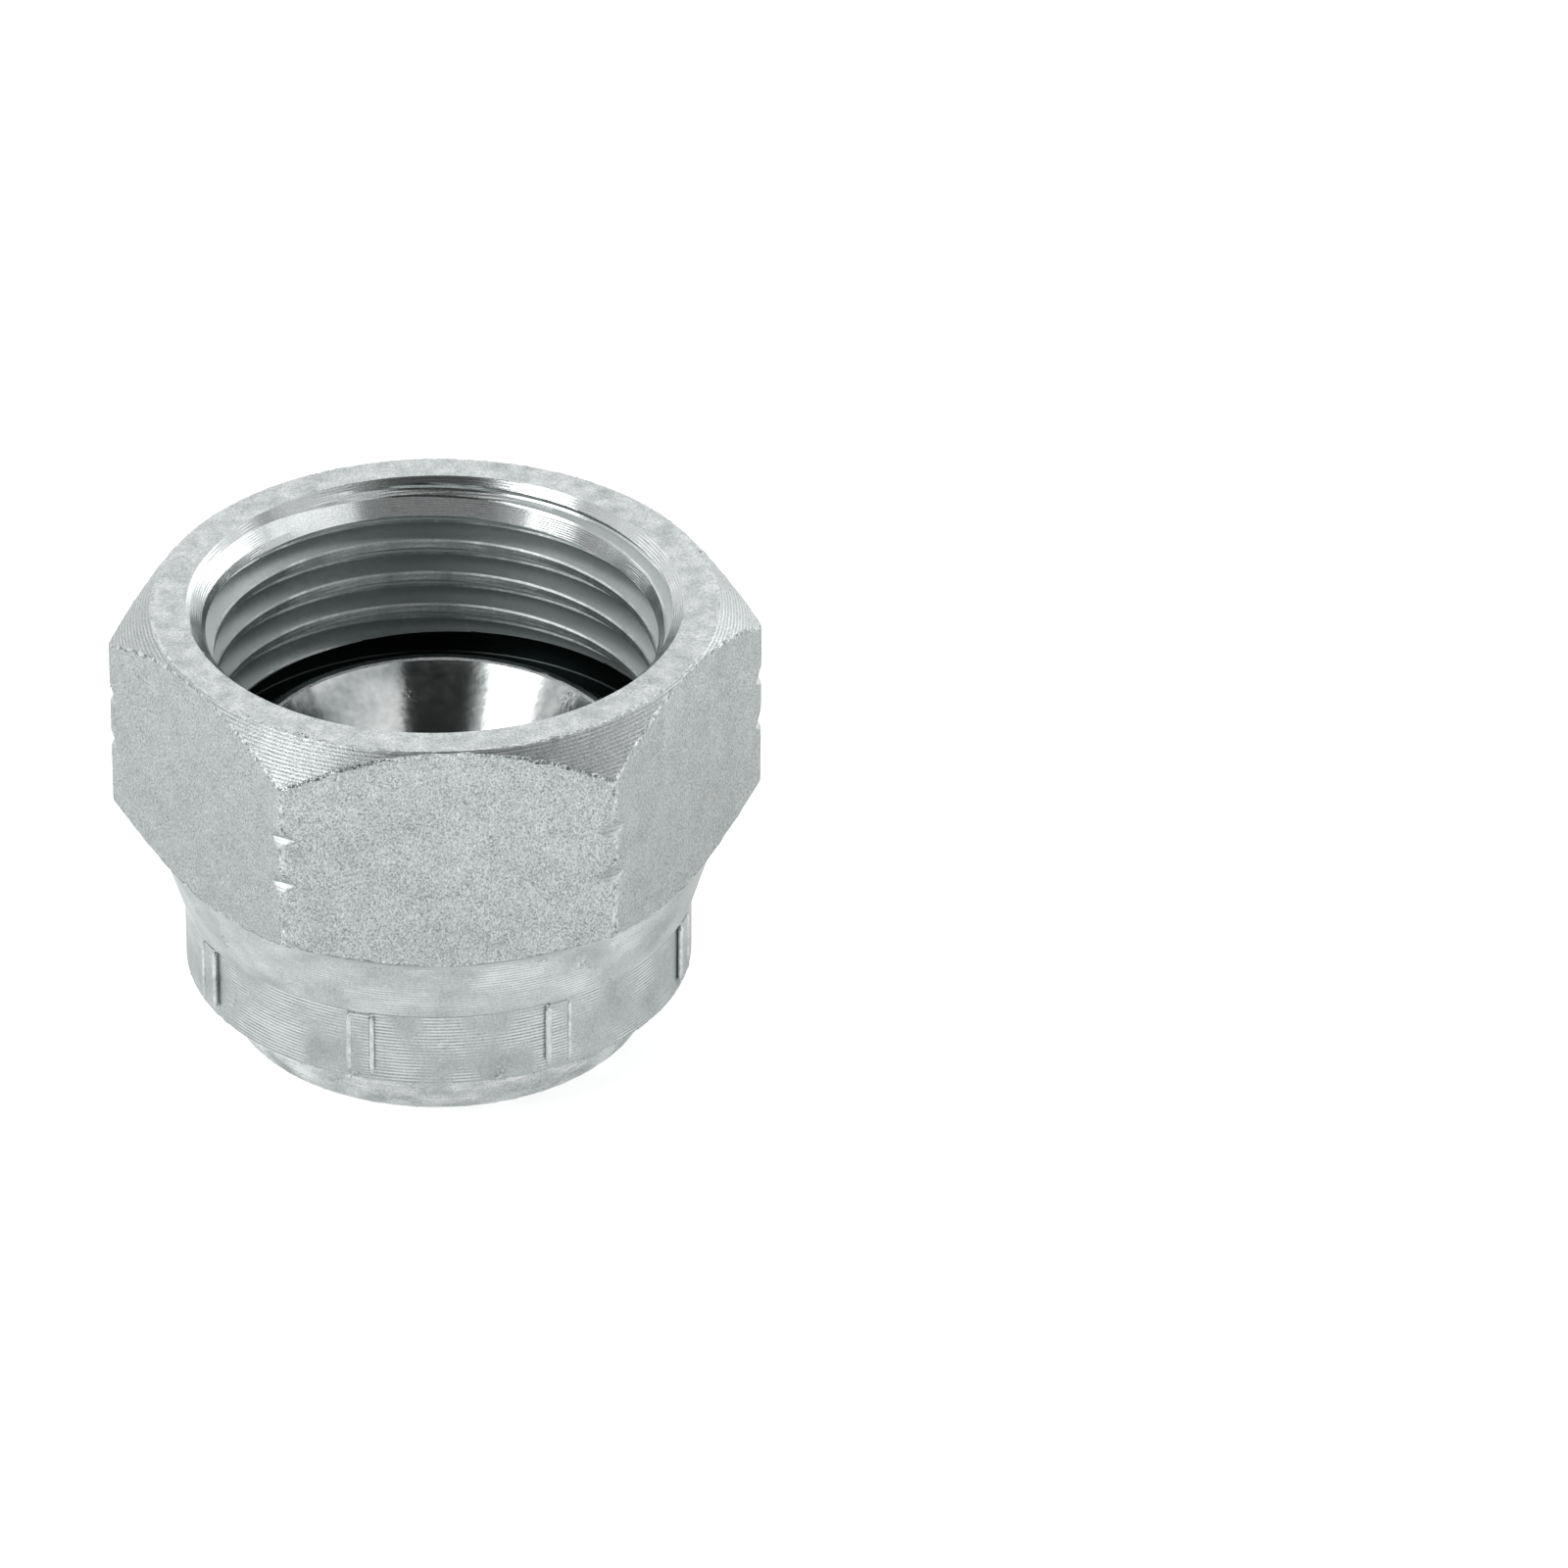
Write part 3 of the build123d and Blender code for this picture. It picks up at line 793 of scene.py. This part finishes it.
def makeCrumbs(name, body, node, spots, s, tree, steel="crumbledEdge"):
    seed = bpy.data.meshes.new(name + "_seed")
    spots = spots + np.random.default_rng(s["seed"]).normal(0, 0.03, spots.shape)
    seed.from_pydata(spots.tolist(), [], [])
    mesh = runTree(tree, seed, {"Share": s["share"], "Small": s["small"], "Large": s["large"],
                                "Seed": s["seed"], "Steel": finishes[steel]})
    low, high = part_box(node)
    for vertex in mesh.vertices:  # nothing stands out of the solid's own box
        vertex.co = [min(max(c, a), b) for c, a, b in zip(vertex.co, low, high)]
    crumbs = bpy.data.objects.new(name, mesh)
    bpy.context.scene.collection.objects.link(crumbs)
    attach(crumbs, body)
    return crumbs


def nutEdges(s):
    hexagon = hexagonRadius(s)
    backLine, mouthLine = chamferLines(s, hexagon)
    return [(s["panelRadius"], s["collarEdge"] + 0.06, 0.08), (s["panelRadius"], s["collarEdge"], 0.2),
            (hexagon, mouthLine - 0.04, 0.13), (hexagon, backLine, 0.14),
            (s["mouthFaceRadius"], s["mouth"] - 0.04, 0.07), (s["mouthRadius"], s["mouth"] - 0.1, -0.04)]


crumbs = crumbTree()
nutCrumbs = makeCrumbs("nut_crumbs", "nut", "swivel_nut", edgePoints(nutEdges(nutSizes)), crumbSizes, crumbs)
print("crumbs made:", len(nutCrumbs.data.polygons), "faces")

cornerSizes = dict(low=13.8, high=23.8, step=0.07, spread=0.09, clearBelow=0.35, clearAbove=0.5, inset=0.02,
                   share=0.5, small=0.02, large=0.09, seed=11)


def cornerPoints(s, nutPart):
    # up the six corners of the hexagon, but for the notches
    heights = np.arange(s["low"], s["high"], s["step"])
    for ring in nutPart["rings"]:
        heights = heights[(heights < ring - s["clearBelow"]) | (heights > ring + s["clearAbove"])]
    chance = np.random.default_rng(s["seed"])
    spots = []
    for turn in np.radians(np.arange(0, 360, 60)):
        across = chance.normal(0, s["spread"], len(heights))
        out = nutPart["cornerReach"] - s["inset"] - 0.5 * np.abs(across)
        spots.append(np.stack([out * math.cos(turn) - across * math.sin(turn),
                               out * math.sin(turn) + across * math.cos(turn), heights], -1))
    return np.concatenate(spots)


cornerCrumbs = makeCrumbs("corner_crumbs", "nut", "swivel_nut", cornerPoints(cornerSizes, nutSizes),
                          cornerSizes, crumbs, "brightBurr")
print("corner crumbs made:", len(cornerCrumbs.data.polygons), "faces")

# two smears of grime on the mouth's outer edge, as (angle from +X in degrees, spread in mm, specks)
grimeSizes = dict(spots=((-119.0, 0.42, 26), (91.0, 0.4, 14)), inset=0.12, depth=0.09, share=1.0, small=0.015,
                  large=0.055, seed=5)


def grimePoints(s, nutPart):
    chance = np.random.default_rng(s["seed"])
    spots = []
    for turn, spread, count in s["spots"]:
        turns = np.radians(turn) + chance.normal(0, spread, count) / nutPart["mouthFaceRadius"]
        out = nutPart["mouthFaceRadius"] - s["inset"] + chance.normal(0, s["depth"], count)
        height = nutPart["mouth"] * np.ones(count)
        spots.append(np.stack([out * np.cos(turns), out * np.sin(turns), height], -1))
    return np.concatenate(spots)


grime = makeCrumbs("grime_specks", "nut", "swivel_nut", grimePoints(grimeSizes, nutSizes), grimeSizes, crumbs,
                   "greasyGrime")
print("grime made:", len(grime.data.polygons), "faces")

# the pip in the dimple's middle is what the parting tool left
plugSizes = dict(
    pipRadius=0.12, pipHeight=0.12, pipFoot=0.45, dimpleRadius=4.95, dimpleDepth=0.25,
    discRadius=11.9, discThickness=2.5, discBreak=0.2, neckRadius=10.5, neckTop=7.3,
    headRadius=12.05, headBase=8.85, headTop=14.95, rimOuter=11.0, rimRadius=10.45,
    rim=plugHigh[2] / mm, floorRadius=6.49, floor=10.7, edge=0.05, sharp=14,
)


def makePlug(s):
    corners = [
        (s["pipRadius"], s["pipHeight"], "turnedRim"),
        (0.3, s["pipHeight"] + 0.02, "turnedRim"),
        (s["pipFoot"], s["dimpleDepth"], "discFace"),
        (s["dimpleRadius"] * 0.5, s["dimpleDepth"] * 0.8, "discFace"),
        (s["dimpleRadius"] * 0.8, s["dimpleDepth"] * 0.4, "discFace"),
        (s["dimpleRadius"] + ragged(8, 70, 0.05), 0, "discFace", 0.08, "crumbledEdge"),
        (s["discRadius"] - s["discBreak"] + ragged(9, 90, 0.02), 0, "turnedDisc", 0.08, "brightBurr"),
        (s["discRadius"], s["discBreak"], "turnedDisc"),
        (s["discRadius"], s["discThickness"] - s["discBreak"], "turnedDisc"),
        (s["discRadius"] - s["discBreak"], s["discThickness"], "turnedDisc"),
        (s["neckRadius"], s["discThickness"], "turnedDisc"),
        (s["neckRadius"], s["neckTop"], "turnedDisc"),
        (s["headRadius"], s["headBase"], "turnedDisc"),
        (s["headRadius"], s["headTop"], "turnedDisc"),
        (s["rimOuter"], s["rim"], "turnedRim", 0.12, "turnedRim"),
        # the seat's inner rim: a chipped matt edge, painted pure white as a highlight line
        (s["rimRadius"] + 0.06 + ragged(6, 60, 0.012), s["rim"], "chippedRim", 0.015, "chippedRim"),
        (s["rimRadius"] - 0.06, s["rim"] - 0.08, "polishedSeat", 0.015, "chippedRim"),
        (s["floorRadius"], s["floor"], "turnedFloor"),
        (0.3, s["floor"], "turnedFloor"),
    ]
    mesh = turnedMesh("plug_skin", softened(corners, s["edge"]), capFirst=True, capLast=True)
    plug = toObject("plug", joined([mesh]), lambda edge: s["sharp"])
    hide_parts("blanking_plug")
    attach(plug, "plug")
    return plug


plug = makePlug(plugSizes)
print("plug made:", len(plug.data.polygons), "faces")

# for each its steel, its sizes, and where it lies as (radius, height, inward)
plugCrumbs = {
    "disc_crumbs": ("brightBurr", dict(share=0.3, small=0.01, large=0.035, seed=13),
                    [(plugSizes["discRadius"], 0.03, 0.2),
                     (plugSizes["discRadius"], plugSizes["discBreak"], 0.04)]),
    "dimple_crumbs": ("greasyGrime", dict(share=0.35, small=0.02, large=0.07, seed=17),
                      [(plugSizes["dimpleRadius"], 0, -0.05), (plugSizes["dimpleRadius"], 0, 0.02)]),
    # crumbs on the rim, painted pure white like the highlight line they sit on
    "rim_crumbs": ("chippedRim", dict(share=0.35, small=0.01, large=0.08, seed=19),
                   [(plugSizes["rimRadius"], plugSizes["rim"] - 0.03, -0.03)]),
}
for name, (steel, sizes, edges) in plugCrumbs.items():
    made = makeCrumbs(name, "plug", "blanking_plug", edgePoints(edges), sizes, crumbs, steel)
    print(name, "made:", len(made.data.polygons), "faces")


# Studio

def wayTo(s):
    # unit vector from the cap to what stands at this azimuth and elevation
    a, e = math.radians(s["azimuth"]), math.radians(s["elevation"])
    return Vector((math.sin(a) * math.cos(e), -math.cos(a) * math.cos(e), math.sin(e)))


# in millimetres and degrees, with the cap's middle and the picture's width in the photograph's pixels
cameraSizes = dict(azimuth=-1.98, elevation=32.18, roll=0.58, distance=571.7, target=13.17,
                   pixelsPerMm=18.123, middle=(446.30, 809.10), picture=1600, sensor=36)


def makeCamera(s):
    back = wayTo(s)
    a = math.radians(s["azimuth"])
    right = Vector((math.cos(a), math.sin(a), 0))
    up = back.cross(right)
    target = Vector((0, 0, s["target"]))
    half = s["picture"] / 2
    # the camera looks past the cap, so that the cap stands where it does in the photograph
    aim = (target + right * (half - s["middle"][0]) / s["pixelsPerMm"]
           + up * (s["middle"][1] - half) / s["pixelsPerMm"])
    spot = target + back * s["distance"]
    data = bpy.data.cameras.new("camera")
    data.sensor_width = s["sensor"]
    data.lens = s["pixelsPerMm"] * s["distance"] / s["picture"] * data.sensor_width
    data.clip_start, data.clip_end = 0.01, 10
    camera = bpy.data.objects.new("camera", data)
    turn = (aim - spot).to_track_quat("-Z", "Y").to_matrix()
    turn = turn @ Matrix.Rotation(math.radians(s["roll"]), 3, "Z")
    camera.matrix_world = Matrix.Translation(spot * mm) @ turn.to_4x4()
    bpy.context.scene.collection.objects.link(camera)
    bpy.context.scene.camera = camera


# reach and outwards are in metres; each bracket says from where to where, and the light at either end
floorSizes = dict(reach=2, colour="#F4F4F4", shown=0.62,
                  outwards=(0.02, 0.12, 0.3, 0.66), nearLens=(-0.9, -0.5, 0.92, 1.0),
                  behind=(-0.3, 0.1, 1.0, 0.66), toRight=(0.8, 0.97, 1.0, 0.72))


def makeFloor(s):
    mesh = bpy.data.meshes.new("floor")
    edge = s["reach"]
    mesh.from_pydata([(-edge, -edge, 0), (edge, -edge, 0), (edge, edge, 0), (-edge, edge, 0)], [],
                     [(0, 1, 2, 3)])
    # matt white paper: even, and bright enough to lose its far edge
    material, tree = newMaterial("whitePaper")
    paper = addNode(tree, "ShaderNodeBsdfDiffuse", linear(s["colour"]))
    path = addNode(tree, "ShaderNodeLightPath")
    # reflected, the paper is brighter further out, so that a tilted grain of the metal shows light or dark
    spot = addNode(tree, "ShaderNodeTexCoord").outputs["Object"]
    out = addNode(tree, "ShaderNodeVectorMath", spot, operation="LENGTH").outputs["Value"]
    far = addNode(tree, "ShaderNodeMapRange", out, *s["outwards"])
    heading = addNode(tree, "ShaderNodeVectorMath", spot, operation="NORMALIZE")
    heading = addNode(tree, "ShaderNodeSeparateXYZ", heading).outputs
    nearLens = addNode(tree, "ShaderNodeMapRange", heading[1], *s["nearLens"])
    behind = addNode(tree, "ShaderNodeMapRange", heading[1], *s["behind"])
    far = addNode(tree, "ShaderNodeMath", far, nearLens, operation="MULTIPLY")
    far = addNode(tree, "ShaderNodeMath", far, behind, operation="MULTIPLY")
    toRight = addNode(tree, "ShaderNodeMapRange", heading[0], *s["toRight"])
    far = addNode(tree, "ShaderNodeMath", far, toRight, operation="MULTIPLY")
    glow = addNode(tree, "ShaderNodeMath", far, path.outputs["Is Glossy Ray"], operation="MULTIPLY")
    glow = addNode(tree, "ShaderNodeMath", path.outputs["Is Camera Ray"], s["shown"], glow,
                   operation="MULTIPLY_ADD")
    lift = addNode(tree, "ShaderNodeEmission", named={"Strength": glow})
    both = addNode(tree, "ShaderNodeAddShader", paper, lift)
    addNode(tree, "ShaderNodeOutputMaterial", both)
    mesh.materials.append(material)
    floor = bpy.data.objects.new("floor", mesh)
    bpy.context.scene.collection.objects.link(floor)


# in millimetres, degrees and watts
lampSizes = {
    "keyBox": dict(azimuth=-61, elevation=36, distance=600, aim=13, size=(270, 460), watts=1.25),
    "fillBox": dict(azimuth=59, elevation=36, distance=600, aim=13, size=(500, 460), watts=0.55),
}
# each bracket: from where to where along x, y or z of the way out, and the light at either end
roomSizes = dict(leftWall=(-0.46, -0.6, 0.0, 1.0), rightWall=(0.48, 0.6, 0.0, 1.0),
                 rearWall=(-0.7, -0.6, 0.0, 1.0), lensHeight=0.62, aroundLens=(0.15, 0.3, 0.05, 0.7),
                 ceilingFront=(0.78, 0.95, 1.0, 0.1), ceilingBack=(0.985, 0.998, 1.0, 0.1),
                 frontToBack=(-0.1, 0.25), backWall=(-0.25, 0.35, 0.45, 1.0),
                 behindFill=(0.86, 0.93, 1.0, 0.05), low=(0.3, 0.42, 1.0, 0.0), card=(0.5, 0.75, 0.0, 1.2))


def makeWorld(s):
    world = bpy.data.worlds.new("studio")
    bpy.context.scene.world = world
    world.use_nodes = True
    tree = world.node_tree
    tree.nodes.clear()
    way = addNode(tree, "ShaderNodeTexCoord").outputs["Generated"]
    height = addNode(tree, "ShaderNodeSeparateXYZ", way).outputs[2]
    flat = addNode(tree, "ShaderNodeVectorMath", way, [1, 1, 0], operation="MULTIPLY")
    flat = addNode(tree, "ShaderNodeVectorMath", flat, operation="NORMALIZE")
    heading = addNode(tree, "ShaderNodeSeparateXYZ", flat).outputs
    # the dark gap between the softboxes, where the camera stands
    left = addNode(tree, "ShaderNodeMapRange", heading[0], *s["leftWall"])
    right = addNode(tree, "ShaderNodeMapRange", heading[0], *s["rightWall"])
    front = addNode(tree, "ShaderNodeMath", left, right, operation="MAXIMUM")
    rear = addNode(tree, "ShaderNodeMapRange", heading[1], *s["rearWall"])
    front = addNode(tree, "ShaderNodeMath", front, rear, operation="MAXIMUM")
    fromLens = addNode(tree, "ShaderNodeMath", height, s["lensHeight"], operation="SUBTRACT")
    fromLens = addNode(tree, "ShaderNodeMath", fromLens, operation="ABSOLUTE")
    gap = addNode(tree, "ShaderNodeMapRange", fromLens, *s["aroundLens"])
    front = addNode(tree, "ShaderNodeMath", front, gap, operation="MAXIMUM")
    # a white room, dark overhead, more so in front than behind
    skyFront = addNode(tree, "ShaderNodeMapRange", height, *s["ceilingFront"])
    skyBack = addNode(tree, "ShaderNodeMapRange", height, *s["ceilingBack"])
    behind = addNode(tree, "ShaderNodeMapRange", heading[1], *s["frontToBack"])
    more = addNode(tree, "ShaderNodeMath", skyBack, skyFront, operation="SUBTRACT")
    sky = addNode(tree, "ShaderNodeMath", more, behind, skyFront, operation="MULTIPLY_ADD")
    back = addNode(tree, "ShaderNodeMapRange", heading[1], *s["backWall"], interpolation_type="SMOOTHSTEP")
    studio = addNode(tree, "ShaderNodeMath", sky, front, operation="MULTIPLY")
    studio = addNode(tree, "ShaderNodeMath", studio, back, operation="MULTIPLY")
    # nothing is lit behind the weaker softbox
    toFill = addNode(tree, "ShaderNodeVectorMath", way, wayTo(lampSizes["fillBox"]), operation="DOT_PRODUCT")
    lit = addNode(tree, "ShaderNodeMapRange", toFill.outputs["Value"], *s["behindFill"])
    low = addNode(tree, "ShaderNodeMapRange", height, *s["low"])
    lit = addNode(tree, "ShaderNodeMath", lit, low, operation="MAXIMUM")
    # a white card low on the right
    card = addNode(tree, "ShaderNodeMapRange", heading[0], *s["card"])
    lit = addNode(tree, "ShaderNodeMath", card, low, lit, operation="MULTIPLY_ADD")
    studio = addNode(tree, "ShaderNodeMath", studio, lit, operation="MULTIPLY")
    path = addNode(tree, "ShaderNodeLightPath")
    room = addNode(tree, "ShaderNodeBackground", studio, 1.0)
    white = addNode(tree, "ShaderNodeBackground", (1, 1, 1, 1), 1.0)
    shown = addNode(tree, "ShaderNodeMixShader", path.outputs["Is Camera Ray"], room, white)
    addNode(tree, "ShaderNodeOutputWorld", shown)


def makeLamps(lamps):
    for name, s in lamps.items():
        back = wayTo(s)
        data = bpy.data.lights.new(name, "AREA")
        data.shape = "RECTANGLE"
        data.size, data.size_y = (side * mm for side in s["size"])
        data.energy = s["watts"]
        lamp = bpy.data.objects.new(name, data)
        lamp.rotation_mode = "QUATERNION"
        lamp.location = (Vector((0, 0, s["aim"])) + back * s["distance"]) * mm
        lamp.rotation_quaternion = (-back).to_track_quat("-Z", "Y")
        bpy.context.scene.collection.objects.link(lamp)


makeCamera(cameraSizes)
makeFloor(floorSizes)
makeWorld(roomSizes)
makeLamps(lampSizes)
bpy.context.scene.view_settings.view_transform = "Standard"
print("studio made")
